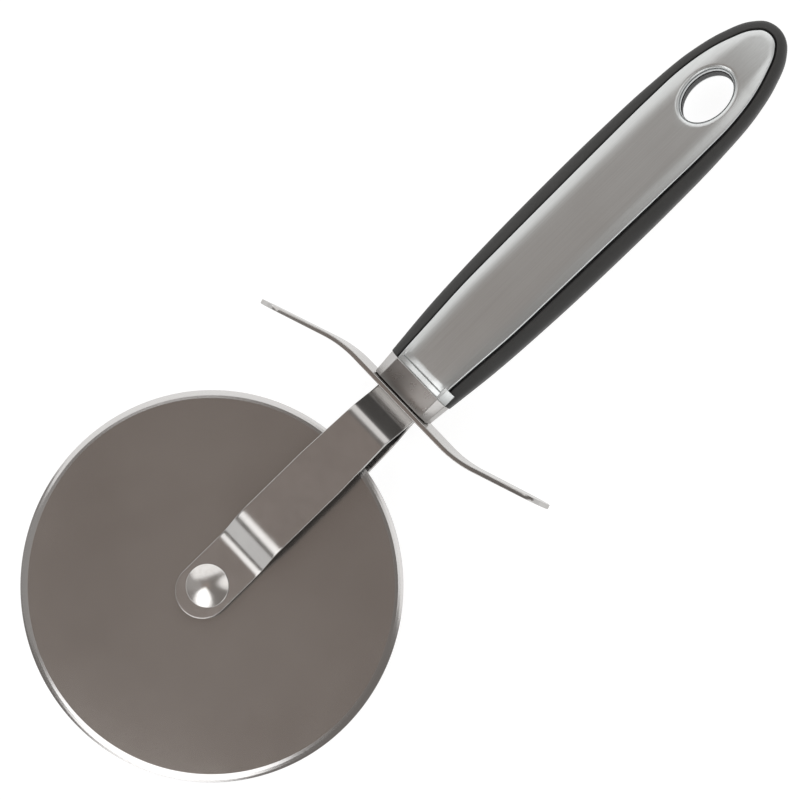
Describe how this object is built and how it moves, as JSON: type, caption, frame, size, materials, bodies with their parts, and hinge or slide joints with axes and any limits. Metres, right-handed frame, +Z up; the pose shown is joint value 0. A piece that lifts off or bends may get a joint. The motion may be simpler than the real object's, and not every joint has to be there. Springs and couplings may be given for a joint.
{
  "type": "pizza cutter",
  "caption": "Hand pizza cutter: a bevelled steel wheel turns on a riveted fork, with a bent finger guard, a ferrule and a steel-faced handle with a soft rim and an oval hang hole.",
  "frame": {"origin": "middle of the bounding box in plan, on the plane the cutter lies on", "axes": "+X from the wheel to the handle's tip, +Y across the handle, +Z up along the wheel's axle, towards the front plate"},
  "size_m": [0.251, 0.1, 0.021],
  "materials": {
    "blade_steel": "satin stainless, ground bevel",
    "strap_steel": "satin stainless with polished edges",
    "plate_steel": "lengthwise brushed stainless",
    "polished_steel": "polished stainless",
    "pin_steel": "plain drawn steel",
    "rim_rubber": "matte charcoal soft plastic",
    "core_plastic": "matte moulded plastic",
    "bearing_plastic": "natural nylon"
  },
  "bodies": {
    "frame": {"front_washer": "bearing_plastic", "rear_washer": "bearing_plastic", "axle_rivet": "polished_steel", "axle_rivet_socket": "polished_steel", "front_arm": "strap_steel", "rear_arm": "strap_steel", "finger_guard": "strap_steel", "ferrule": "strap_steel", "handle_core": "core_plastic", "grip_rim": "rim_rubber", "front_plate": "plate_steel", "rear_plate": "plate_steel", "tang_pins": "pin_steel"},
    "wheel": {"cutting_wheel": "blade_steel", "wheel_bush": "bearing_plastic"}
  },
  "joints": [
    {"name": "wheel_spin", "type": "hinge", "parent": "frame", "child": "wheel", "pos_m": [-0.0755, 0, 0.0105], "axis": [0, 0, 1], "continuous": true}
  ]
}
